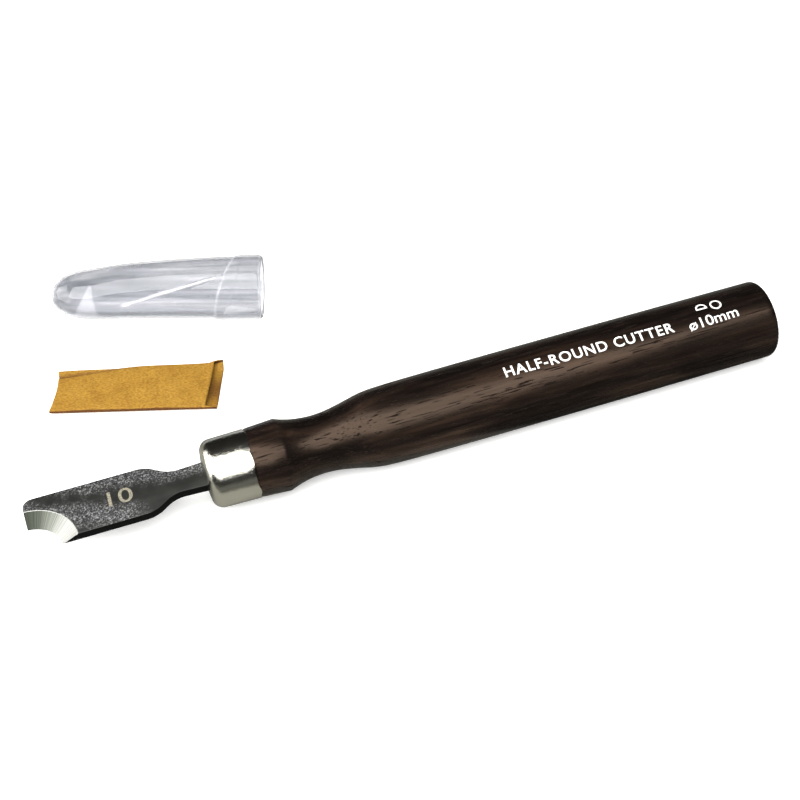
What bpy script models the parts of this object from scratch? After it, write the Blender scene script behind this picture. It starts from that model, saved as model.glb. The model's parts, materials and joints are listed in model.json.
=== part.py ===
"""Half-round lino cutter with its clear blade cap and paper sleeve.

Frame: metres, +Z up. The tool's axis is X, with the butt at the origin and the blade towards -X.
The blade lies flat (its back faces -Z), and the cap and the sleeve lie behind the tool (+Y), on the
same table as the handle. Stations along the tool are measured from the ferrule's front.
"""

import math

import bmesh
import bpy
from mathutils import Matrix, Vector

MM = 0.001
GAP = 0.3 * MM                # clearance between neighbouring solids

# Handle, a turned piece. Stations are (distance behind the ferrule's front, radius).
BUTT_STATION = 94.1 * MM
HANDLE_RADIUS = 6.4 * MM      # largest radius, which rests on the table
COLLAR_STATION = 8.1 * MM
COLLAR_RADIUS = 5.5 * MM
RIDGE_STATION = 12.4 * MM
RIDGE_RADIUS = 5.75 * MM
BODY_STATIONS = [
    (12.6, 5.66), (13.8, 5.26), (15.4, 4.88), (17.8, 4.63), (20.4, 4.77), (23.2, 5.29),
    (26.1, 5.93), (28.4, 6.18), (34.0, 6.31), (51.0, 6.39), (72.0, 6.39),
]
BUTT_RADIUS = 6.33 * MM
BUTT_EDGE_RADIUS = 1.0 * MM
TURNING_STEPS = 56

# Ferrule, a thin drawn cup
FERRULE_LENGTH = 7.8 * MM
FERRULE_FRONT_RADIUS = 5.42 * MM
FERRULE_RIM_RADIUS = 5.53 * MM
FERRULE_WALL = 0.45 * MM
FERRULE_FILLET = 1.8 * MM
FERRULE_DOME = 0.25 * MM      # how far the middle of the front stands proud of its edge
RIM_WAVE = 0.1 * MM

# Blade and tang, one forging
BLADE_LENGTH = 27.4 * MM      # from the end to the ferrule's front
BLADE_WIDTH = 9.3 * MM
BLADE_THICKNESS = 1.4 * MM
FAR_CORNER_RADIUS = 1.5 * MM
SHOULDER_STATION = -8.4 * MM
NECK_STATION = -4.9 * MM
NECK_WIDTH = 4.4 * MM
TANG_WIDTH = 4.9 * MM
TANG_END_WIDTH = 2.6 * MM
TANG_DEPTH = 35.0 * MM        # hidden inside the handle
SHOULDER_ROUND = 1.3 * MM
NOTCH_RADIUS = 5.0 * MM       # the cutting edge is a quarter of a 10 mm circle
BEVEL_WIDTH = 2.6 * MM
NOTCH_CENTRE = Vector((-27.65 * MM, -5.15 * MM))
NOTCH_STEPS = 160

# Cap and sleeve, lying on the table behind the blade
CAP_ANGLE = math.radians(-22.0)
CAP_MOUTH = Vector((18.75 * MM, 39.75 * MM))
CAP_LENGTH = 37.5 * MM
CAP_WALL = 0.3 * MM
CAP_RADIUS = 5.68 * MM        # stretches over the ferrule
CAP_STEPS = 40
# (distance from the mouth, half-width, half-height, centre's height) of the cap's outside
CAP_SECTIONS = [
    (0.0, 5.68, 5.68, 5.68), (7.6, 5.58, 5.60, 5.62), (8.2, 5.34, 5.42, 5.47),
    (16.0, 5.10, 5.20, 5.25), (23.5, 5.00, 4.80, 4.82), (29.5, 4.92, 4.20, 4.22),
    (33.0, 4.55, 3.82, 4.02), (35.3, 3.60, 3.10, 3.95), (36.6, 2.50, 2.15, 3.90),
    (37.25, 1.35, 1.20, 3.90),
]
SLEEVE_ANGLE = math.radians(-18.1)
SLEEVE_CENTRE = Vector((-6.35 * MM, 28.75 * MM))
SLEEVE_LENGTH = 28.7 * MM
SLEEVE_MOUTH_WIDTH = 10.7 * MM
SLEEVE_TIP_WIDTH = 9.5 * MM   # hand-folded, so it tapers a little
SLEEVE_HEIGHT = 1.6 * MM
SLEEVE_WALL = 0.3 * MM
SLEEVE_FOLD_STEPS = 6

TABLE_Z = -HANDLE_RADIUS


def clear_scene():
    for thing in list(bpy.data.objects):
        bpy.data.objects.remove(thing, do_unlink=True)


def finish_material(name, rgb, roughness, metallic=0.0, transmission=0.0):
    material = bpy.data.materials.new(name)
    material.use_nodes = True
    shader = material.node_tree.nodes["Principled BSDF"]
    shader.inputs["Base Color"].default_value = (*rgb, 1.0)
    shader.inputs["Roughness"].default_value = roughness
    shader.inputs["Metallic"].default_value = metallic
    shader.inputs["Transmission Weight"].default_value = transmission
    return material


def add_object(name, shape, material=None, parent=None):
    mesh = bpy.data.meshes.new(name)
    shape.to_mesh(mesh)
    shape.free()
    thing = bpy.data.objects.new(name, mesh)
    bpy.context.scene.collection.objects.link(thing)
    thing.parent = parent
    if material:
        mesh.materials.append(material)
    return thing


def hide_cutter(thing):
    thing.hide_render = True
    thing.display_type = "WIRE"


def cut(thing, cutter):
    modifier = thing.modifiers.new(cutter.name, "BOOLEAN")
    modifier.operation = "DIFFERENCE"
    modifier.object = cutter


def smooth_shade(thing, angle=math.radians(35)):
    thing.data.shade_smooth()
    thing.data.set_sharp_from_angle(angle=angle)


def arc(centre, radius, start, end, steps):
    """Points of an arc in the profile plane, where x runs along the tool and y is the radius."""
    angles = [start + (end - start) * i / steps for i in range(steps + 1)]
    return [(centre[0] + radius * math.cos(a), centre[1] + radius * math.sin(a)) for a in angles]


def flowing_curve(points, steps):
    """Points of a smooth curve through the given stations, by Hermite stretches."""
    slopes = []
    for i in range(len(points)):
        before, after = points[max(i - 1, 0)], points[min(i + 1, len(points) - 1)]
        slopes.append((after[1] - before[1]) / (after[0] - before[0]))
    curve = []
    for (x0, y0), (x1, y1), m0, m1 in zip(points, points[1:], slopes, slopes[1:]):
        length = x1 - x0
        for i in range(steps):
            t = i / steps
            h = (2 * t**3 - 3 * t**2 + 1) * y0 + (3 * t**2 - 2 * t**3) * y1
            h += ((t**3 - 2 * t**2 + t) * m0 + (t**3 - t**2) * m1) * length
            curve.append((x0 + length * t, h))
    return curve + [points[-1]]


def turn(profile, steps):
    """A bmesh of the profile spun about the X axis. The profile starts and ends on the axis."""
    shape = bmesh.new()
    points = [shape.verts.new((x, 0.0, r)) for x, r in profile]
    edges = [shape.edges.new(pair) for pair in zip(points, points[1:])]
    bmesh.ops.spin(
        shape, geom=points + edges, cent=(0, 0, 0), axis=(1, 0, 0),
        angle=math.tau, steps=steps, use_merge=True,
    )
    bmesh.ops.remove_doubles(shape, verts=shape.verts, dist=1e-6)
    bmesh.ops.recalc_face_normals(shape, faces=shape.faces)
    return shape


def tang_cutter(name, start, end, parent):
    """The tang's path with clearance all round, from one station to another."""
    shape = bmesh.new()
    bmesh.ops.create_cube(shape, size=1.0)
    for vert in shape.verts:
        behind = vert.co.x > 0
        station = end if behind else start
        share = max(station, 0.0) / TANG_DEPTH
        width = TANG_WIDTH + (TANG_END_WIDTH - TANG_WIDTH) * min(share, 1.0) + 2 * GAP
        vert.co.x = station
        vert.co.y *= width
        vert.co.z *= BLADE_THICKNESS + 2 * GAP
    cutter = add_object(name, shape, parent=parent)
    hide_cutter(cutter)
    return cutter


def make_handle(frame):
    spigot_radius = FERRULE_RIM_RADIUS - FERRULE_WALL - 2 * GAP
    spigot_start = FERRULE_WALL + FERRULE_DOME + GAP
    spigot_corner = FERRULE_FILLET
    body = [(RIDGE_STATION, RIDGE_RADIUS)] + [(x * MM, r * MM) for x, r in BODY_STATIONS]
    body.append((BUTT_STATION - BUTT_EDGE_RADIUS, BUTT_RADIUS))
    edge_centre = (BUTT_STATION - BUTT_EDGE_RADIUS, BUTT_RADIUS - BUTT_EDGE_RADIUS)
    profile = [(spigot_start, 0.0)]
    profile += arc(
        (spigot_start + spigot_corner, spigot_radius - spigot_corner),
        spigot_corner, math.pi, math.pi / 2, 4,
    )
    profile += [(COLLAR_STATION, spigot_radius), (COLLAR_STATION, COLLAR_RADIUS)]
    profile += flowing_curve(body, 3)
    profile += arc(edge_centre, BUTT_EDGE_RADIUS, math.pi / 2, 0.0, 5)[1:]
    profile.append((BUTT_STATION, 0.0))
    wood = finish_material("stained_wood", (0.022, 0.012, 0.008), 0.4)
    handle = add_object("handle", turn(profile, TURNING_STEPS), wood, frame)
    cut(handle, tang_cutter("tang_hole", -1 * MM, TANG_DEPTH + GAP, frame))
    smooth_shade(handle)
    return handle


def make_ferrule(frame):
    front_edge = FERRULE_FRONT_RADIUS - FERRULE_FILLET
    inner_fillet = FERRULE_FILLET - FERRULE_WALL
    shoulder = (FERRULE_DOME + FERRULE_FILLET, front_edge)
    outside = [(0.0, 0.0), (FERRULE_DOME * 0.3, front_edge * 0.6)]
    outside += arc(shoulder, FERRULE_FILLET, math.pi, math.pi / 2, 6)
    outside.append((FERRULE_LENGTH, FERRULE_RIM_RADIUS))
    inside = [(FERRULE_LENGTH, FERRULE_RIM_RADIUS - FERRULE_WALL)]
    inside += arc(shoulder, inner_fillet, math.pi / 2, math.pi, 6)
    inside += [(FERRULE_DOME * 0.3 + FERRULE_WALL, front_edge * 0.6), (FERRULE_WALL, 0.0)]
    shape = turn(outside + inside, TURNING_STEPS)
    for vert in shape.verts:
        if vert.co.x > FERRULE_LENGTH - GAP:
            angle = math.atan2(vert.co.z, vert.co.y)
            vert.co.x -= RIM_WAVE * (1 + 0.6 * math.sin(3 * angle) + 0.4 * math.sin(7 * angle + 1))
    metal = finish_material("nickel_plate", (0.70, 0.69, 0.66), 0.18, metallic=1.0)
    ferrule = add_object("ferrule", shape, metal, frame)
    cut(ferrule, tang_cutter("tang_slot", -1 * MM, 3 * MM, frame))
    smooth_shade(ferrule)
    return ferrule


def make_blade(frame):
    half_width, half_neck, half_tang = BLADE_WIDTH / 2, NECK_WIDTH / 2, TANG_WIDTH / 2
    side = [
        (-BLADE_LENGTH, half_width), (SHOULDER_STATION, half_width), (NECK_STATION, half_neck),
        (0.0, half_tang), (TANG_DEPTH, TANG_END_WIDTH / 2),
    ]
    outline = side + [(x, -y) for x, y in reversed(side)]
    shape = bmesh.new()
    corners = [shape.verts.new((x, y, -BLADE_THICKNESS / 2)) for x, y in outline]
    face = shape.faces.new(corners)
    raised = bmesh.ops.extrude_face_region(shape, geom=[face])["geom"]
    top = [part for part in raised if isinstance(part, bmesh.types.BMVert)]
    bmesh.ops.translate(shape, verts=top, vec=(0, 0, BLADE_THICKNESS))
    bmesh.ops.recalc_face_normals(shape, faces=shape.faces)

    def round_corners(x, reach, steps):
        upright = [
            edge for edge in shape.edges
            if abs(edge.verts[0].co.x - x) < 1e-6 and abs(edge.verts[1].co.x - x) < 1e-6
            and abs(edge.verts[0].co.z - edge.verts[1].co.z) > BLADE_THICKNESS / 2
        ]
        bmesh.ops.bevel(
            shape, geom=upright, offset=reach, offset_type="OFFSET", affect="EDGES",
            segments=steps, profile=0.5, material=-1,
        )

    round_corners(-BLADE_LENGTH, FAR_CORNER_RADIUS, 6)
    round_corners(SHOULDER_STATION, SHOULDER_ROUND, 6)
    round_corners(NECK_STATION, SHOULDER_ROUND, 6)
    steel = finish_material("forged_steel", (0.09, 0.09, 0.10), 0.45, metallic=0.9)
    blade = add_object("blade", shape, steel, frame)

    # The notch's bevel is a cone: narrow at the back face, wide at the top face.
    slope = BEVEL_WIDTH / BLADE_THICKNESS
    over = 1 * MM
    cone = bmesh.new()
    bmesh.ops.create_cone(
        cone, cap_ends=True, segments=NOTCH_STEPS,
        radius1=NOTCH_RADIUS - slope * over, radius2=NOTCH_RADIUS + BEVEL_WIDTH + slope * over,
        depth=BLADE_THICKNESS + 2 * over,
        matrix=Matrix.Translation((NOTCH_CENTRE.x, NOTCH_CENTRE.y, 0.0)),
    )
    cutter = add_object("notch_cone", cone, parent=frame)
    hide_cutter(cutter)
    cut(blade, cutter)
    return blade


def cap_ring(shape, section):
    """One ring of the cap. The sections sink towards the tip, so that the underside is level."""
    reach, half_width, half_height, height = (value * MM for value in section)
    rise = height - CAP_RADIUS
    ring = []
    for step in range(CAP_STEPS):
        angle = math.tau * step / CAP_STEPS
        side = half_width * math.cos(angle)
        ring.append(shape.verts.new((-reach, side, rise + half_height * math.sin(angle))))
    return ring, [shape.edges.new(pair) for pair in zip(ring, ring[1:] + ring[:1])]


def make_cap(rest):
    """One skin from the mouth to the closed tip, which then gets its wall on the inside."""
    shape = bmesh.new()
    rings = [cap_ring(shape, section) for section in CAP_SECTIONS]
    for (_, near), (_, far) in zip(rings, rings[1:]):
        bmesh.ops.bridge_loops(shape, edges=near + far)
    last = rings[-1][0]
    tip = shape.verts.new((-CAP_LENGTH, 0.0, CAP_SECTIONS[-1][3] * MM - CAP_RADIUS))
    for pair in zip(last, last[1:] + last[:1]):
        shape.faces.new((*pair, tip))
    bmesh.ops.recalc_face_normals(shape, faces=shape.faces)
    clear = finish_material("clear_vinyl", (0.9, 0.93, 0.93), 0.08, transmission=1.0)
    cap = add_object("cap", shape, clear, rest)
    wall = cap.modifiers.new("wall", "SOLIDIFY")
    wall.thickness = CAP_WALL
    wall.offset = -1.0
    smooth_shade(cap)
    return cap


def flat_tube(over, inset):
    """A bar with a flat tube's outline: two straight runs joined by half-round folds."""
    shape = bmesh.new()
    fold = SLEEVE_HEIGHT / 2 - inset
    end = SLEEVE_LENGTH / 2 + over
    widening = (SLEEVE_MOUTH_WIDTH - SLEEVE_TIP_WIDTH) / SLEEVE_LENGTH

    def run_at(station):
        width = (SLEEVE_MOUTH_WIDTH + SLEEVE_TIP_WIDTH) / 2 + widening * station
        return (width - SLEEVE_HEIGHT) / 2

    ring = []
    for side in (1, -1):
        for step in range(SLEEVE_FOLD_STEPS + 1):
            angle = side * math.pi / 2 - math.pi * step / SLEEVE_FOLD_STEPS
            y = side * run_at(-end) + fold * math.cos(angle)
            ring.append(shape.verts.new((-end, y, fold * math.sin(angle))))
    face = shape.faces.new(ring)
    raised = bmesh.ops.extrude_face_region(shape, geom=[face])["geom"]
    for part in raised:
        if isinstance(part, bmesh.types.BMVert):
            part.co.x = end
            part.co.y += math.copysign(run_at(end) - run_at(-end), part.co.y)
    bmesh.ops.recalc_face_normals(shape, faces=shape.faces)
    return shape


def make_sleeve(rest):
    paper = finish_material("kraft_paper", (0.62, 0.36, 0.10), 0.75)
    sleeve = add_object("sleeve", flat_tube(0.0, 0.0), paper, rest)
    bore = add_object("sleeve_bore", flat_tube(2 * MM, SLEEVE_WALL), parent=rest)
    hide_cutter(bore)
    cut(sleeve, bore)
    return sleeve


def add_frame(name, location, angle=0.0, parent=None):
    frame = bpy.data.objects.new(name, None)
    bpy.context.scene.collection.objects.link(frame)
    frame.parent = parent
    frame.location = location
    frame.rotation_euler = (0.0, 0.0, angle)
    return frame


def main():
    clear_scene()
    stations = add_frame("ferrule_front", (-BUTT_STATION, 0, 0))
    make_handle(stations)
    make_ferrule(stations)
    make_blade(stations)
    cap_rest = add_frame(
        "cap_rest", (*CAP_MOUTH, TABLE_Z + CAP_RADIUS), CAP_ANGLE, stations)
    make_cap(cap_rest)
    sleeve_rest = add_frame(
        "sleeve_rest", (*SLEEVE_CENTRE, TABLE_Z + SLEEVE_HEIGHT / 2), SLEEVE_ANGLE, stations)
    make_sleeve(sleeve_rest)
    bpy.context.view_layer.update()


main()
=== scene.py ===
# %% [markdown]
# # A half-round lino cutter with its cap and paper sleeve
#
# The finished object is five things on a table: a steel blade, a nickel ferrule, a turned wooden
# handle, a clear soft cap and a folded paper sleeve. The sizes and places already exist as a plain
# CAD model, which is loaded first and never changed. Each piece that shows is then made again at
# the quality of a close-up, in the same place, and given a finish built from nodes.
#

import json
import math
from functools import partial

import bmesh
import bpy
from mathutils import Matrix, Vector


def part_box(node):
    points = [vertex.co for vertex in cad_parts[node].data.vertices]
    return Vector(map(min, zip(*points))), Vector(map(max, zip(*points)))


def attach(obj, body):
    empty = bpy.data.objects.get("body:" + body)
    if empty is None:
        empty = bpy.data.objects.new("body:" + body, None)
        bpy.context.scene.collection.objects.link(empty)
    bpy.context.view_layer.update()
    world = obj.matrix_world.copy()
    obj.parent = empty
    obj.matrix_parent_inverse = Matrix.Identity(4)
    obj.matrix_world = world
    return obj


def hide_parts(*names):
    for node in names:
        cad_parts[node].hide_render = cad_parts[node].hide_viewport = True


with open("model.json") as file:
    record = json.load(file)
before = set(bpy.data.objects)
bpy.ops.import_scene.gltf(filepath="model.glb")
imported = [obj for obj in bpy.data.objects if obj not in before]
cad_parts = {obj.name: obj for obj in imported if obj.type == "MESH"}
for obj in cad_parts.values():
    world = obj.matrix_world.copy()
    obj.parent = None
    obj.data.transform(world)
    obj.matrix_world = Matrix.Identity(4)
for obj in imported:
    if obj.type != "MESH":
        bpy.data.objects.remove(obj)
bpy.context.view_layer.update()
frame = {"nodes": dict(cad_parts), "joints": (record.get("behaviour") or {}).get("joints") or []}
joints = {joint["name"]: joint for joint in frame["joints"]}

# %% [markdown]
# ## Where things are
#
# The tool lies along X with its butt at the origin and its blade towards -X. A maker measures such
# a tool from the ferrule, so the stations below count from the ferrule's front, in millimetres.
# The places themselves are read from the frame.

# %% Places from the frame
MM = 0.001
BLADE_LENGTH = 27.4 * MM
FERRULE_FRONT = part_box("blade")[0].x + BLADE_LENGTH
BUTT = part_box("handle")[1].x
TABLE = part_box("handle")[0].z
BLADE_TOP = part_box("blade")[1].z
print(f"handle {BUTT - FERRULE_FRONT:.4f} m long, table at {TABLE:.4f} m")

# %% [markdown]
# ## Helpers for every piece
#
# A bmesh is a mesh under construction. When its shape is done it becomes a mesh datablock on an
# object, rides on a CAD body, and stands for one of the CAD nodes. Doing this in one place keeps
# every finished object at the origin, unturned and unscaled, with its place in its vertices.

# %% From a shape to a piece
def add_piece(name, shape, body, stands_for=None):
    """The finished piece made of this bmesh, riding on its CAD body."""
    mesh = bpy.data.meshes.new(name)
    shape.to_mesh(mesh)
    shape.free()
    piece = bpy.data.objects.new(name, mesh)
    bpy.context.scene.collection.objects.link(piece)
    if body:
        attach(piece, body)
    if stands_for:
        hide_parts(stands_for)
    print(f"{name}: {len(mesh.polygons)} faces")
    return piece


def smooth_shade(piece):
    """Smooth shading that keeps the real edges crisp."""
    piece.data.shade_smooth()
    piece.data.set_sharp_from_angle(angle=math.radians(35))


def curve_height(stations, x):
    """Height at x of the smooth curve through these stations, a Hermite curve as a spline ruler draws."""
    if x <= stations[0][0]:
        return stations[0][1]
    if x >= stations[-1][0]:
        return stations[-1][1]
    last = len(stations) - 1
    i = max(n for n in range(last) if stations[n][0] <= x)
    slopes = []
    for n in (i, i + 1):
        before, after = stations[max(n - 1, 0)], stations[min(n + 1, last)]
        slopes.append((after[1] - before[1]) / (after[0] - before[0]))
    (x0, y0), (x1, y1) = stations[i], stations[i + 1]
    length, t = x1 - x0, (x - x0) / (x1 - x0)
    height = (2 * t**3 - 3 * t**2 + 1) * y0 + (3 * t**2 - 2 * t**3) * y1
    return height + ((t**3 - 2 * t**2 + t) * slopes[0] + (t**3 - t**2) * slopes[1]) * length


# %% [markdown]
# ## Colours and nodes
#
# A finish is a tree of nodes that ends in one Principled shader. Colours are written as the sRGB
# hex values that a paint program shows, and one function turns them into the linear values that
# the renderer wants. Every node goes through one small function too, which sets and links it. The
# scale of each pattern comes from a real size: a noise of scale 1 / 0.0005 has lumps of about half
# a millimetre.

# %% Colour and node helpers
def linear(code):
    """The linear RGBA of an sRGB hex colour."""
    values = [int(code[i:i + 2], 16) / 255 for i in (0, 2, 4)]
    return (*[v / 12.92 if v <= 0.04045 else ((v + 0.055) / 1.055) ** 2.4 for v in values], 1.0)


MULTIPLY = {"data_type": "RGBA", "blend_type": "MULTIPLY", 0: 1.0}   # a Mix node that multiplies colours


def output_of(source):
    """A socket stays itself, and a node stands for its first output in use."""
    if isinstance(source, bpy.types.NodeSocket):
        return source
    return next(socket for socket in source.outputs if socket.enabled)


def feed(node, **sources):
    """Links each source to the node's input of that name, with _ for a space."""
    for name, source in sources.items():
        node.id_data.links.new(output_of(source), node.inputs[name.replace("_", " ")])


def add_node(tree, kind, settings=(), links=()):
    """A node with its properties and sockets set, its ramp stops placed and its inputs linked.

    The kind is Blender's own name for the node, without ShaderNode in front, and a colour is given
    by its hex code.
    """
    node = tree.nodes.new("ShaderNode" + kind)
    for key, value in dict(settings).items():
        if key == "stops":
            ramp = node.color_ramp
            while len(ramp.elements) < len(value):
                ramp.elements.new(1.0)
            for element, (position, colour) in zip(ramp.elements, value):
                element.position, element.color = position, linear(colour)
        elif isinstance(key, int) or key in node.inputs:
            node.inputs[key].default_value = linear(value) if isinstance(value, str) else value
        else:
            setattr(node, key, value)
    for key, source in dict(links).items():
        tree.links.new(output_of(source), node.inputs[key])
    return node


def new_finish(name, **constants):
    """A material whose shader has these constants, and what its pattern is built with.

    That is a function that adds nodes to it, its Principled shader, and its Object coordinates.
    """
    material = bpy.data.materials.new(name)
    material.use_nodes = True
    tree = material.node_tree
    shader = tree.nodes["Principled BSDF"]
    for key, value in constants.items():
        shader.inputs[key.replace("_", " ")].default_value = value
    add = partial(add_node, tree)
    return material, add, shader, add("TexCoord").outputs["Object"]


def per(size):
    """The texture scale that gives lumps of this size in metres."""
    return 1.0 / size


# %% [markdown]
# ## Camera
#
# A tool this small is shot from close by: a little over 20 cm away, looking down at 46 degrees from
# the tool's blade end. A slightly long lens keeps the handle's taper honest. The camera is turned
# by its heading first, then its pitch, then a small roll, which is how a tripod head works.

# %% Camera
CAMERA_PLACE = Vector((FERRULE_FRONT - 4.94 * MM, -148.66 * MM, 165.44 * MM))
HEADING = math.radians(13.933)
PITCH_DOWN = math.radians(46.394)
ROLL = math.radians(-5.569)

camera_data = bpy.data.cameras.new("studio_camera")
camera_data.lens = 64.72
camera_data.sensor_width = 36.0
camera_data.clip_start = 10 * MM
camera = bpy.data.objects.new("studio_camera", camera_data)
bpy.context.scene.collection.objects.link(camera)
tripod_head = Matrix.Rotation(-HEADING, 4, "Z") @ Matrix.Rotation(math.pi / 2 - PITCH_DOWN, 4, "X")
camera.matrix_world = Matrix.Translation(CAMERA_PLACE) @ tripod_head @ Matrix.Rotation(ROLL, 4, "Z")
bpy.context.scene.camera = camera
print("camera", [round(v, 4) for v in camera.matrix_world.translation])

# %% [markdown]
# ## Table and studio light
#
# The object lies on a white table. Shiny metal shows whatever is around it, so the studio matters
# as much as the nickel: a large soft box from the front to just past overhead paints the broad
# white band on the ferrule, the dim room behind paints the black one, and a second soft box at
# the left lights the ferrule's front and the ground edge of the blade. A dark card on the table in
# front of the tool is seen by reflections only, and gives the metal its lower dark band.
#
# The table glows a little, as a light table does, which keeps shadows faint. The glow grows far
# from the object, where less light of the soft boxes lands. A Light Path node tells the rays apart:
# in the metal's reflections the table is plain grey, or the ferrule would be white all over, and
# rays that come through the clear cap still see it white. The room is dark to every ray that
# lights or reflects, and pale to the rest.

# %% Table
FLOOR_SIZE = 4.0
TABLE_IN_REFLECTIONS = "767670"
NEAR_GLOW, FAR_GLOW = 0.25, 0.92
GLOW_GROWS_FROM, GLOW_GROWS_TO = 0.35, 0.9
white_table, add, shader, place = new_finish("white_table", Roughness=0.9, Emission_Color=linear("FFFFFF"))
away = add("VectorMath", {"operation": "LENGTH"}, {0: place})
glow = add(
    "MapRange",
    {"From Min": GLOW_GROWS_FROM, "From Max": GLOW_GROWS_TO, "To Min": NEAR_GLOW, "To Max": FAR_GLOW},
    {"Value": away})
feed(shader, Emission_Strength=glow)
grain = add("TexNoise", {"Scale": per(8 * MM), "Detail": 2.0}, {"Vector": place})
paper_white = add("Mix", {"data_type": "RGBA", 6: "F4F4F2", 7: "F8F8F6"}, {0: grain})
feed(shader, Base_Color=paper_white)
rays = add("LightPath")
shaded = add("BsdfDiffuse", {"Color": TABLE_IN_REFLECTIONS})
mirrored = add(
    "Math", {"operation": "SUBTRACT", "use_clamp": True},
    {0: rays.outputs["Is Glossy Ray"], 1: rays.outputs["Is Transmission Ray"]})
seen = add("MixShader", links={0: mirrored, 1: shader, 2: shaded})
feed(white_table.node_tree.nodes["Material Output"], Surface=seen)
shape = bmesh.new()
bmesh.ops.create_grid(shape, x_segments=1, y_segments=1, size=FLOOR_SIZE / 2)
bmesh.ops.translate(shape, verts=shape.verts, vec=(FERRULE_FRONT / 2, 0, TABLE))
floor = add_piece("white_table", shape, None)
floor.data.materials.append(white_table)

# %% Dark card for the reflections
CARD_EDGE = -22 * MM
CARD_HALF = 0.3
CARD_TURN = Matrix.Rotation(math.radians(18), 3, "Z")
card_finish, add, shader, place = new_finish("dark_card", Roughness=0.9)
mottle = add("TexNoise", {"Scale": per(3.6 * MM), "Detail": 3.0, "Roughness": 0.7}, {"Vector": place})
card_tone = add("ValToRGB", {"stops": [(0.35, "0A0B09"), (0.75, "3A3B33")]}, {"Fac": mottle})
feed(shader, Base_Color=card_tone)
shape = bmesh.new()
bmesh.ops.create_grid(shape, x_segments=1, y_segments=1, size=CARD_HALF)
bmesh.ops.translate(shape, verts=shape.verts, vec=(0, CARD_EDGE - CARD_HALF, TABLE + 0.1 * MM))
bmesh.ops.rotate(shape, verts=shape.verts, cent=(FERRULE_FRONT, CARD_EDGE, TABLE), matrix=CARD_TURN)
card = add_piece("dark_card", shape, None)
card.data.materials.append(card_finish)
for kind in ("camera", "diffuse", "transmission", "shadow"):
    setattr(card, f"visible_{kind}", False)

# %% Soft boxes
BOX_DISTANCE = 0.6
MAIN_RISE = math.radians(69)


def add_soft_box(name, direction, width, height, power):
    """A rectangular light that looks at the ferrule from this direction."""
    data = bpy.data.lights.new(name, "AREA")
    data.shape = "RECTANGLE"
    data.size, data.size_y = width, height
    data.energy = power
    box = bpy.data.objects.new(name, data)
    bpy.context.scene.collection.objects.link(box)
    towards = Vector(direction).normalized()
    place = Matrix.Translation(Vector((FERRULE_FRONT, 0, 0)) + towards * BOX_DISTANCE)
    box.matrix_world = place @ towards.to_track_quat("Z", "Y").to_matrix().to_4x4()
    box.visible_camera = False
    print(f"{name}: {width} by {height} m, {power} W")


add_soft_box(
    "main_soft_box", (-0.26, -math.cos(MAIN_RISE), math.sin(MAIN_RISE)), width=1.1, height=0.62, power=14.5)
add_soft_box("left_soft_box", (-0.9, 0.24, 0.38), width=0.7, height=0.4, power=3.0)

# %% Room
world = bpy.data.worlds.new("pale_room")
bpy.context.scene.world = world
world.use_nodes = True
add = partial(add_node, world.node_tree)
rays = add("LightPath")
lit = add(
    "Math", {"operation": "MAXIMUM"}, {0: rays.outputs["Is Glossy Ray"], 1: rays.outputs["Is Diffuse Ray"]})
room_colour = add("Mix", {"data_type": "RGBA", 6: "F2F2F2", 7: "1C1C1B"}, {0: lit})
feed(world.node_tree.nodes["Background"], Color=room_colour)
bpy.context.scene.view_settings.view_transform = "Standard"

# %% [markdown]
# ## Handle
#
# The handle was turned on a lathe: a collar that carries on the ferrule's line, a small ridge, a
# waist for the finger and thumb, and a long body that swells a little. Spinning one profile about
# the tool's axis is the same operation as turning, so it gives the shape at once. The stations
# are few, and a smooth curve runs through them, as it does under a turner's gouge.

# %% Handle profile
COLLAR = (8.1, 5.5)
COLLAR_FACE = 7.55            # the ferrule is pressed against the collar, and its rim laps over it
FACE_EDGE, FACE_DROP = 0.2, 0.26   # radius of the face's edge, and how far in its centre lies
RIDGE = (12.4, 5.75)
SPIGOT = (0.9, 4.45)          # the stub inside the ferrule: where it starts, and its radius
UNDER_RIM = (6.6, 5.0)        # a wider seat, which fills the ferrule behind its rim
BODY = [
    RIDGE, (12.6, 5.66), (13.8, 5.26), (15.4, 4.88), (17.8, 4.63), (20.4, 4.77), (23.2, 5.29),
    (26.1, 5.93), (28.4, 6.18), (34.0, 6.31), (51.0, 6.39), (72.0, 6.39), (93.1, 6.33),
]
BUTT_EDGE = 1.0
TURNING_STEPS = 144
BODY_STEPS = 150


def arc(centre, radius, start, end, steps):
    """Points of an arc, given in degrees, in the profile plane of station and radius."""
    angles = [math.radians(start + (end - start) * i / steps) for i in range(steps + 1)]
    return [(centre[0] + radius * math.cos(a), centre[1] + radius * math.sin(a)) for a in angles]


def handle_profile():
    (start, stub), (first, _), (end, butt_radius) = SPIGOT, BODY[0], BODY[-1]
    points = [(start, 0.0), (start, stub), (UNDER_RIM[0], stub), UNDER_RIM, (COLLAR_FACE, UNDER_RIM[1])]
    points += arc((COLLAR_FACE + FACE_EDGE, COLLAR[1] - FACE_DROP), FACE_EDGE, 180, 90, 4) + [COLLAR]
    points += [(first + (end - first) * i / BODY_STEPS,) for i in range(BODY_STEPS)]
    points = [p if len(p) == 2 else (p[0], curve_height(BODY, p[0])) for p in points]
    butt_arc = arc((end, butt_radius - BUTT_EDGE), BUTT_EDGE, 90, 0, 8)
    return points + butt_arc + [(end + BUTT_EDGE, 0.0)]


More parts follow.
